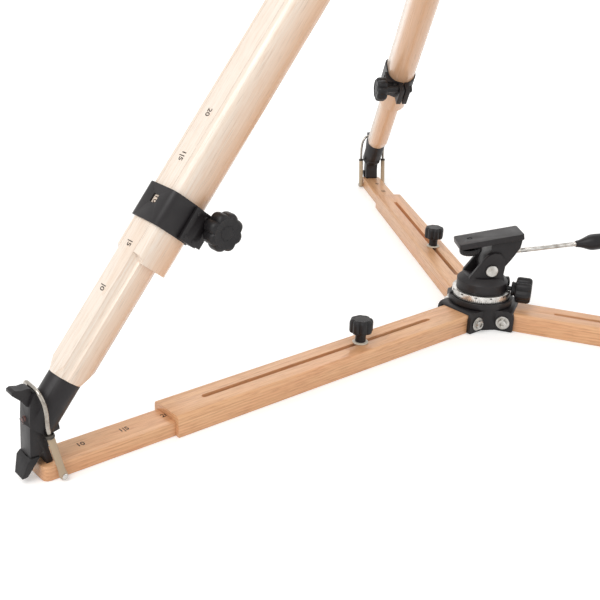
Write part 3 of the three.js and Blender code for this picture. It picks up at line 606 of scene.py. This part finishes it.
# ------------------------------------------------------------------ sub-assemblies
@dataclass
class Arm:
    """One spreader arm: a slotted channel, the slat that slides in it, and the knob that locks them."""

    number: int
    figure_size: float = 9.2
    figure_aside: float = -2.0
    figures: Figures = ((609.0, "10"), (559.0, "1|5"), (509.0, "20"))
    knob_profile: Profile = (
        (2.1, -33.7), (2.7, -33.0), (2.7, -12.9), (6.3, -12.8), (6.75, -12.2), (6.6, -8.0), (6.8, -2.6),
        (8.6, -0.9), (12.6, -0.6), (14.2, 0.3), (14.9, 2.2), (15.0, 12.2), (14.7, 14.4), (13.6, 16.2),
        (11.6, 17.2), (10.3, 17.4), (9.9, 17.0), (5.0, 17.5), (1.5, 17.6))

    def build(self) -> None:
        """Builds and fits the arm's pieces."""
        self.boards()
        self.scale()
        self.knob()
        self.washer()

    def boards(self) -> None:
        """Works the channel and the slat."""
        place = arm_place(self.number)
        for node, body, pith, edge in (
                (f"arm_channel_{self.number}", f"arm_{self.number}", (0.014, -0.05), 0.8),
                (f"arm_slat_{self.number}", f"arm_{self.number}_slat", (-0.02, -0.07), 1.2)):
            material = ARM_WOOD.build(f"{node}_wood", place, pith, 0.31 * self.number + edge)
            fit(worked(node, edge), material, body, Slot.ARM_WOOD, node)

    def scale(self) -> None:
        """Prints the slat's centimetre scale."""
        for radius, words in self.figures:
            middle = Vector((radius * MM, self.figure_aside * MM, SLAT_TIP.z))
            place = arm_place(self.number) @ Matrix.Translation(middle) @ turn_z(180)
            piece = printed(f"slat_figure_{self.number}_{radius:.0f}", words, self.figure_size, place)
            fit(piece, FINISHES["print"], f"arm_{self.number}_slat", Slot.ARM_WOOD)

    def knob(self) -> None:
        """Turns the lobed lock knob with its screw."""
        Turning(f"arm_knob_{self.number}", f"arm_{self.number}_knob_turn", f"arm_{self.number}_knob",
                "plastic", Slot.KNOB, self.knob_profile, lobes=8, depth=0.15, head=(-0.7, 17.3),
                sides=96).make()

    def washer(self) -> None:
        """Works the pale washer under the knob."""
        node = f"arm_washer_{self.number}"
        fit(worked(node, 0.3), FINISHES["cream"], f"arm_{self.number}_slat", Slot.WASHER, node)


@dataclass
class Foot:
    """One foot: its casting, rubber heel, and the sprung bail that locks it on the slat."""

    number: int
    sleeve_aside: float = 22.0
    sleeve_lean: float = 0.2255
    pin: tuple[float, float] = (-18.0, -11.2)
    sleeve_profile: Profile = (
        (2.5, 27.7), (2.5, 46.9), (3.5, 47.0), (3.75, 46.5), (3.75, 40.0), (3.75, 12.0), (3.8, 6.0),
        (4.1, 2.6), (4.4, 0.4), (4.3, -1.6), (3.4, -3.4), (1.6, -4.3))
    collar_profile: Profile = (
        (3.8, 47.0), (4.5, 47.3), (4.7, 47.9), (4.3, 48.4), (3.9, 48.7), (4.3, 49.0), (4.7, 49.5),
        (4.6, 50.3), (4.1, 50.9), (2.9, 51.1))
    pin_profile: Profile = (
        (2.9, 0.0), (3.2, 0.3), (3.2, 1.3), (2.5, 2.0), (1.0, 2.3))
    wire_half: tuple[Point, ...] = (
        (-11.0, 22.0, 19.8), (-9.0, 22.0, 28.8), (-6.97, 22.0, 37.8), (-5.8, 22.0, 43.8), (-5.4, 22.0, 51.8),
        (-5.2, 21.5, 63.8), (-4.0, 18.5, 74.8), (-2.5, 12.5, 81.4))
    crest: Point = (-2.2, 0.0, 82.4)
    heel_bend: float = 4.0
    heel_bottom: float = -16.2
    heel_lift: float = 5.4
    heel_narrow: float = 0.42
    heel_curve: float = 1.4
    heel_out: float = 1.6
    bolt_at: Point = (7.3, 0.0, 48.8)
    bolt_profile: Profile = (
        (4.5, -1.0), (4.5, 1.0), (4.2, 1.9), (3.2, 2.7), (2.0, 3.0), (0.8, 3.1))
    wire_radius: float = 2.15
    pin_out: float = 3.5

    def build(self) -> None:
        """Builds and fits the foot's pieces."""
        body = f"leg_{self.number}_lower"
        casting = f"foot_casting_{self.number}"
        fit(worked(casting, 1.9), FINISHES["cast"], body, Slot.CAST, casting)
        self.bolt(body)
        self.heel(body)
        for side, sign in (("near", 1.0), ("far", -1.0)):
            self.sleeve(side, sign, body)
        half = list(self.wire_half)
        points = half + [self.crest] + [(x, -y, z) for x, y, z in reversed(half)]
        wire = bent_wire(f"bail_{self.number}_bent_wire", points, self.wire_radius)
        settle(wire, tip_place(self.number), smooth=60.0)
        fit(wire, FINISHES["wire"], f"bail_{self.number}", Slot.STEEL, f"bail_wire_{self.number}")

    def bolt(self, body: str) -> None:
        """Puts the domed bolt head on the foot's outer face."""
        head = turned(f"foot_bolt_head_{self.number}", self.bolt_profile, 32)
        settle(head, tip_place(self.number) @ Matrix.Translation(Vector(self.bolt_at) * MM)
               @ Matrix.Rotation(math.radians(90.0), 4, "Y"))
        fit(head, FINISHES["reddened"], body, Slot.CAST)

    def heel(self, body: str) -> None:
        """Works the rubber heel and draws its lower end in to a rounded tongue."""
        node = f"rubber_heel_{self.number}"
        piece = worked(node, 2.6)
        there = tip_place(self.number)
        back = there.inverted()
        reach = (self.heel_bend - self.heel_bottom) * MM
        for vertex in piece.data.vertices:
            point = back @ vertex.co
            share = min(max((self.heel_bend * MM - point.z) / reach, 0.0), 1.0)
            point.y *= 1.0 - self.heel_narrow * share ** self.heel_curve
            point.z += self.heel_lift * MM * share
            point.x += self.heel_out * MM * share
            vertex.co = there @ point
        fit(piece, FINISHES["rubber"], body, Slot.HEEL, node)

    def sleeve(self, side: str, sign: float, body: str) -> None:
        """Turns one sleeve of the bail with its dark collar and its pin head.

        Args:
            side: near or far.
            sign: 1 on the near side and -1 on the far side.
            body: The body that they move with.
        """
        pin = tip_place(self.number) @ Matrix.Translation(
            (self.pin[0] * MM, sign * self.sleeve_aside * MM, self.pin[1] * MM))
        place = pin @ Matrix.Rotation(math.atan(self.sleeve_lean), 4, "Y")
        name = f"bail_{side}_{self.number}"
        sleeve = settle(turned(f"{name}_sleeve", self.sleeve_profile, 32), place)
        fit(sleeve, FINISHES["tan"], body, Slot.SLEEVE, f"bail_sleeve_{side}_{self.number}")
        collar = settle(turned(f"{name}_collar", self.collar_profile, 32), place)
        fit(collar, FINISHES["dark_steel"], body, Slot.STEEL)
        outward = pin @ Matrix.Translation((0.0, sign * self.pin_out * MM, 0.0)) @ Matrix.Rotation(
            math.radians(-90.0 * sign), 4, "X")
        head = settle(turned(f"{name}_pin_head", self.pin_profile, 24), outward)
        fit(head, FINISHES["steel"], body, Slot.STEEL)


@dataclass
class Leg:
    """One leg: its two telescoping boards, their scale, and the clamp that locks them."""

    number: int
    figure_size: float = 9.2
    knob_profile: Profile = (
        (5.2, -38.4), (5.8, -37.8), (5.8, -34.0), (5.2, -33.5), (3.0, -33.4), (3.0, -14.4), (6.0, -14.3),
        (6.5, -13.7), (6.5, 2.0), (7.6, 5.8), (13.4, 7.2), (17.6, 7.8), (19.8, 9.6), (20.5, 12.2),
        (20.5, 20.2), (19.7, 23.0), (17.8, 24.8), (15.6, 25.2), (14.8, 24.4), (8.0, 24.0), (7.4, 24.6),
        (2.0, 25.0))
    lower_figures: Figures = ((100.0, "|0"),)
    upper_figures: Figures = ((150.0, "|5"), (200.0, "10"), (250.0, "1|5"), (300.0, "20"))

    def build(self) -> None:
        """Builds and fits the leg's pieces."""
        self.boards()
        self.scale()
        self.clamp()

    def boards(self) -> None:
        """Works the two boards."""
        place = leg_place(self.number) @ GRAIN_UP_LEG
        for node, body, pith, edge in (
                (f"leg_outer_{self.number}", f"leg_{self.number}_upper", (0.012, -0.16), 0.8),
                (f"leg_inner_{self.number}", f"leg_{self.number}_lower", (-0.01, -0.13), 0.5)):
            material = LEG_WOOD.build(f"{node}_wood", place, pith, 0.47 * self.number + edge)
            fit(worked(node, edge), material, body, Slot.LEG_WOOD, node)

    def scale(self) -> None:
        """Prints the leg's centimetre scale."""
        facing = Matrix(((0, 0, 1, 0), (0, 1, 0, 0), (-1, 0, 0, 0), (0, 0, 0, 1)))
        for figures, body in ((self.lower_figures, "lower"), (self.upper_figures, "upper")):
            for height, words in figures:
                place = leg_place(self.number) @ Matrix.Translation((0, 0, height * MM)) @ facing
                piece = printed(f"leg_figure_{self.number}_{height:.0f}", words, self.figure_size, place)
                fit(piece, FINISHES["print"], f"leg_{self.number}_{body}", Slot.LEG_WOOD)

    def clamp(self) -> None:
        """Works the strap and its jaw plate, and makes the lobed clamp knob."""
        upper = f"leg_{self.number}_upper"
        for node in (f"clamp_band_{self.number}", f"clamp_block_{self.number}"):
            fit(worked(node, 0.4, smooth=30.0), FINISHES["clamp"], upper, Slot.CLAMP, node)
        Turning(f"clamp_knob_{self.number}", f"leg_{self.number}_clamp_turn", f"leg_{self.number}_knob",
                "plastic", Slot.KNOB, self.knob_profile, lobes=8, depth=0.15, head=(7.0, 24.9),
                sides=112).make()


@dataclass
class Hub:
    """The spreader's hub casting and its hinge bolts with their washers."""

    bolt_profile: Profile = (
        (2.5, -34.2), (3.0, -36.6), (4.9, -36.7), (5.8, -36.2), (6.0, -35.4), (6.0, -32.0), (8.8, -31.9),
        (9.25, -31.4), (9.25, -30.7), (8.9, -30.3), (4.0, -30.2), (4.0, 30.2), (8.9, 30.3), (9.25, 30.7),
        (9.25, 31.4), (8.8, 31.9), (6.0, 32.0), (6.0, 35.4), (5.8, 36.2), (4.9, 36.7), (3.0, 36.6),
        (2.5, 34.2), (0.8, 34.0))

    def build(self) -> None:
        """Builds and fits the hub's pieces."""
        fit(worked("hub_casting", 1.4), FINISHES["cast"], "hub", Slot.CAST, "hub_casting")
        for number in ARM_AZIMUTHS:
            Turning(f"arm_hinge_bolt_{number}", f"arm_{number}_fold", "hub", "steel", Slot.STEEL,
                    self.bolt_profile).make()


@dataclass
class Head:
    """The pan and tilt head: degree ring, drum and yoke, tilt arm, camera plate and handle."""

    ring_figures: int = 12
    ring_radius: float = 39.62
    ring_middle: float = 45.0
    pan_knob: Profile = (
        (2.4, -21.4), (3.0, -20.8), (3.0, -5.8), (8.8, -5.7), (10.0, -4.6), (9.2, -1.6), (10.6, -0.2),
        (14.4, 0.2), (17.0, 1.2), (18.0, 3.6), (18.0, 16.6), (17.3, 19.2), (15.4, 20.8), (12.6, 21.1),
        (11.4, 20.2), (4.0, 19.7), (1.5, 19.7))
    axle: Profile = (
        (5.0, -21.3), (5.8, -21.7), (7.2, -21.6), (8.1, -21.0), (8.3, -20.2), (8.3, -18.9), (4.0, -18.8),
        (4.0, 18.8), (8.3, 18.9), (8.3, 20.2), (8.1, 21.0), (7.2, 21.6), (5.8, 21.7), (5.0, 21.3),
        (1.0, 21.2))
    plate_knob: Profile = (
        (10.0, -8.7), (12.6, -8.4), (14.4, -7.2), (15.0, -5.4), (15.0, -2.2), (14.2, -0.3), (12.0, 0.1),
        (6.0, 0.2), (6.0, 4.1), (3.1, 4.2), (3.1, 11.4), (2.5, 11.8))
    rod: Profile = (
        (2.4, 0.1), (3.1, 0.8), (3.1, 15.0), (2.9, 15.3), (2.9, 16.3), (3.1, 16.6), (3.1, 88.0),
        (2.9, 88.3), (2.9, 89.3), (3.1, 89.6), (3.1, 105.2), (2.6, 105.8))
    grip: Profile = (
        (3.3, 105.9), (3.3, 92.2), (4.3, 92.3), (4.6, 94.0), (5.3, 98.0), (7.2, 103.6), (9.2, 108.4),
        (10.5, 112.2), (11.0, 116.0), (10.8, 124.0), (10.0, 138.0), (9.1, 152.0), (9.0, 160.0),
        (9.4, 172.0), (10.4, 188.0), (11.0, 199.0), (10.6, 204.0), (9.0, 207.6), (6.6, 209.3),
        (3.0, 209.9), (1.0, 209.9))

    def build(self) -> None:
        """Builds and fits the head's pieces."""
        fit(worked("degree_ring", 0.5), FINISHES["ring"], "pan", Slot.RING, "degree_ring")
        self.figures()
        fit(worked("pan_body", 0.7), FINISHES["cast"], "pan", Slot.CAST, "pan_body")
        fit(worked("tilt_arm", 0.9), FINISHES["cast"], "tilt", Slot.CAST, "tilt_arm")
        fit(worked("camera_plate", 1.0), FINISHES["cast"], "tilt", Slot.CAST, "camera_plate")
        for turning in (
                Turning("tilt_axle", "head_tilt", "tilt", "steel", Slot.STEEL, self.axle),
                Turning("camera_screw_knob", "camera_screw_turn", "plate_knob", "plastic", Slot.KNOB,
                        self.plate_knob, lobes=24, depth=0.05, head=(-8.5, -0.2), sides=144),
                Turning("pan_lock_knob", "pan_lock_turn", "pan_knob", "plastic", Slot.KNOB, self.pan_knob,
                        lobes=7, depth=0.2, head=(-0.3, 21.0), sides=98),
                Turning("handle_rod", "handle_twist", "handle", "steel", Slot.STEEL, self.rod, sides=32),
                Turning("handle_grip", "handle_twist", "handle", "plastic", Slot.KNOB, self.grip)):
            turning.make()

    def figures(self) -> None:
        """Prints the degree figures around the ring's rim, as one piece."""
        facing = Matrix(((0, 0, 1, 0), (1, 0, 0, 0), (0, 1, 0, 0), (0, 0, 0, 1)))
        made = []
        for step in range(self.ring_figures):
            degrees = step * 360 // self.ring_figures
            middle = Vector((self.ring_radius * MM, 0, self.ring_middle * MM))
            place = turn_z(-degrees) @ Matrix.Translation(middle) @ facing
            made.append(printed(f"ring_figure_{degrees}", str(degrees), 2.6, place))
        only(made[0])
        for piece in made[1:]:
            piece.select_set(True)
        bpy.ops.object.join()
        made[0].name = "ring_figures"
        fit(made[0], FINISHES["print"], "pan", Slot.RING)


@dataclass
class Crown:
    """The crown that joins the three legs, with its camera head screw."""

    screw: Profile = (
        (17.6, -34.2), (20.4, -33.6), (21.8, -31.8), (22.0, -29.6), (22.0, -24.2), (21.4, -21.8),
        (19.6, -20.5), (10.0, -20.3), (10.0, -14.4), (4.8, -14.3), (4.8, 9.6), (4.0, 10.8))
    bolt: Profile = (
        (2.6, -31.4), (3.2, -33.9), (6.0, -34.0), (6.8, -33.3), (7.0, -32.4), (7.0, -29.2), (4.0, -29.1),
        (4.0, 29.1), (7.0, 29.2), (7.0, 32.4), (6.8, 33.3), (6.0, 34.0), (3.2, 33.9), (2.6, 31.4),
        (0.8, 31.3))

    def build(self) -> None:
        """Builds and fits the crown's pieces."""
        fit(worked("crown_casting", 1.2), FINISHES["cast"], "crown", Slot.CAST, "crown_casting")
        Turning("crown_screw", "crown_screw_turn", "crown_knob", "plastic", Slot.KNOB, self.screw, lobes=8,
                depth=0.14, head=(-34.3, -20.4), sides=112).make()
        for number in ARM_AZIMUTHS:
            Turning(f"crown_hinge_bolt_{number}", f"leg_{number}_swing", "crown", "steel", Slot.STEEL,
                    self.bolt).make()


# ------------------------------------------------------------------ the studio
@dataclass
class Studio:
    """Floor, soft lamps, white surroundings and the camera."""

    azimuth: float = -10.27
    elevation: float = 22.97
    roll: float = 2.05
    distance: float = 1.355
    aside: float = 0.24778
    above: float = -0.02515
    lens: float = 58.35
    sensor: float = 36.0
    # Distances from the middle over which the floor's painted glow grows to full strength.
    lit_from: float = 0.9
    lit_to: float = 2.6

    def build(self) -> None:
        """Sets the studio up."""
        self.surroundings()
        self.floor()
        self.lamps()
        self.camera()

    def surroundings(self) -> None:
        """Soft grey light all round, which the camera, metal and glass see as white."""
        world = bpy.data.worlds.new("studio")
        bpy.context.scene.world = world
        world.use_nodes = True
        nodes, links = world.node_tree.nodes, world.node_tree.links
        nodes.clear()
        path = nodes.new("ShaderNodeLightPath")
        seen = nodes.new("ShaderNodeMath")
        seen.operation = "MAXIMUM"
        links.new(path.outputs["Is Camera Ray"], seen.inputs[0])
        links.new(path.outputs["Is Transmission Ray"], seen.inputs[1])
        every = nodes.new("ShaderNodeMath")
        every.operation = "MAXIMUM"
        links.new(seen.outputs[0], every.inputs[0])
        links.new(path.outputs["Is Glossy Ray"], every.inputs[1])
        level = nodes.new("ShaderNodeMapRange")
        level.inputs["To Min"].default_value = 0.62
        level.inputs["To Max"].default_value = 1.0
        links.new(every.outputs[0], level.inputs["Value"])
        back = nodes.new("ShaderNodeBackground")
        back.inputs["Color"].default_value = (1.0, 0.995, 0.985, 1.0)
        links.new(level.outputs[0], back.inputs["Strength"])
        links.new(back.outputs[0], nodes.new("ShaderNodeOutputWorld").inputs["Surface"])

    def floor(self) -> None:
        """A plain pale floor that keeps the tripod's soft shadow, with a painted glow, seen by the camera and
        in reflections, that grows away from the tripod.
        """
        bpy.ops.object.select_all(action="DESELECT")
        bpy.ops.mesh.primitive_grid_add(x_subdivisions=4, y_subdivisions=4, size=40.0,
                                        location=(0, 0, -0.5 * MM))
        floor = bpy.context.object
        floor.name = "floor"
        bpy.ops.object.transform_apply(location=True)
        graph = Graph("floor_paper_with_painted_glow")
        path = graph.add("ShaderNodeLightPath", {})
        graph.link(graph.mixed(graph.noise(graph.coordinates, 3.0).outputs["Fac"], (0.86, 0.86, 0.86, 1),
                               (0.88, 0.88, 0.87, 1)), graph.shader.inputs["Base Color"])
        graph.set(Roughness=0.9)
        # Painted light: camera and reflected rays see the floor glow, weakly near the tripod and fully far
        # from it.
        rays = graph.math("MAXIMUM", path.outputs["Is Camera Ray"], graph.math(
            "MAXIMUM", path.outputs["Is Glossy Ray"], path.outputs["Is Transmission Ray"]))
        away = graph.add("ShaderNodeVectorMath", {0: graph.coordinates}, operation="LENGTH").outputs["Value"]
        painted_glow = graph.add("ShaderNodeEmission", {"Color": (1, 1, 1, 1)})
        graph.link(graph.math("MULTIPLY", rays, graph.span(away, self.lit_from, self.lit_to, 0.3, 1.0)),
                   painted_glow.inputs["Strength"])
        total = graph.add("ShaderNodeAddShader", {0: graph.shader.outputs[0], 1: painted_glow.outputs[0]})
        output = next(n for n in graph.nodes if n.type == "OUTPUT_MATERIAL")
        graph.link(total.outputs[0], output.inputs["Surface"])
        floor.data.materials.append(graph.material)

    def lamps(self) -> None:
        """A large soft key from the upper left, and a weak fill from the right."""
        for name, place, size, power in (
                ("key", (-1.6, -1.4, 2.4), 1.8, 42.0),
                ("fill", (1.9, -1.2, 1.5), 1.6, 9.0),
                ("back", (0.3, 2.0, 2.0), 1.6, 12.0)):
            data = bpy.data.lights.new(name, "AREA")
            data.size = size
            data.energy = power
            lamp = bpy.data.objects.new(name, data)
            bpy.context.scene.collection.objects.link(lamp)
            lamp.location = place
            lamp.rotation_euler = (Vector((0, 0, 0.2)) - Vector(place)).to_track_quat("-Z", "Y").to_euler()

    def camera(self) -> None:
        """The camera, turned about its own axis by its roll."""
        data = bpy.data.cameras.new("camera")
        data.lens = self.lens
        data.sensor_width = self.sensor
        camera = bpy.data.objects.new("camera", data)
        bpy.context.scene.collection.objects.link(camera)
        turn = (turn_z(self.azimuth) @ Matrix.Rotation(math.radians(90.0 - self.elevation), 4, "X")
                @ turn_z(self.roll))
        right, up, back = (Vector(turn.col[i][:3]) for i in range(3))
        turn.translation = back * self.distance - right * self.aside - up * self.above
        camera.matrix_world = turn
        bpy.context.scene.camera = camera
        bpy.context.scene.view_settings.view_transform = "Standard"


FINISHES: dict[str, bpy.types.Material] = {}


def main() -> None:
    """Builds the finishes, the tripod's sub-assemblies in order, and the studio."""
    logging.basicConfig(level=logging.INFO, format="%(name)s: %(message)s")
    FINISHES.update({
        "cast": BLACK_CAST.build("black_casting"), "plastic": BLACK_PLASTIC.build("black_plastic"),
        "clamp": BLACK_CAST.build("clamp_black"), "rubber": RUBBER.build("heel_rubber"),
        "print": PRINT.build("scale_print"), "cream": CREAM.build("cream_plastic"),
        "steel": STEEL.build("plated_steel"), "ring": Graduated().build("graduated_aluminium"),
        "tan": TAN.build("tan_sleeve"), "dark_steel": DARK_STEEL.build("dark_collar"),
        "wire": WIRE_STEEL.build("bright_wire"),
        "reddened": REDDENED.build("reddened_bolt")})
    Hub().build()
    Head().build()
    Crown().build()
    for number in ARM_AZIMUTHS:
        Arm(number).build()
        Foot(number).build()
        Leg(number).build()
    Studio().build()
    bpy.context.view_layer.update()


if __name__ == "__main__":
    main()
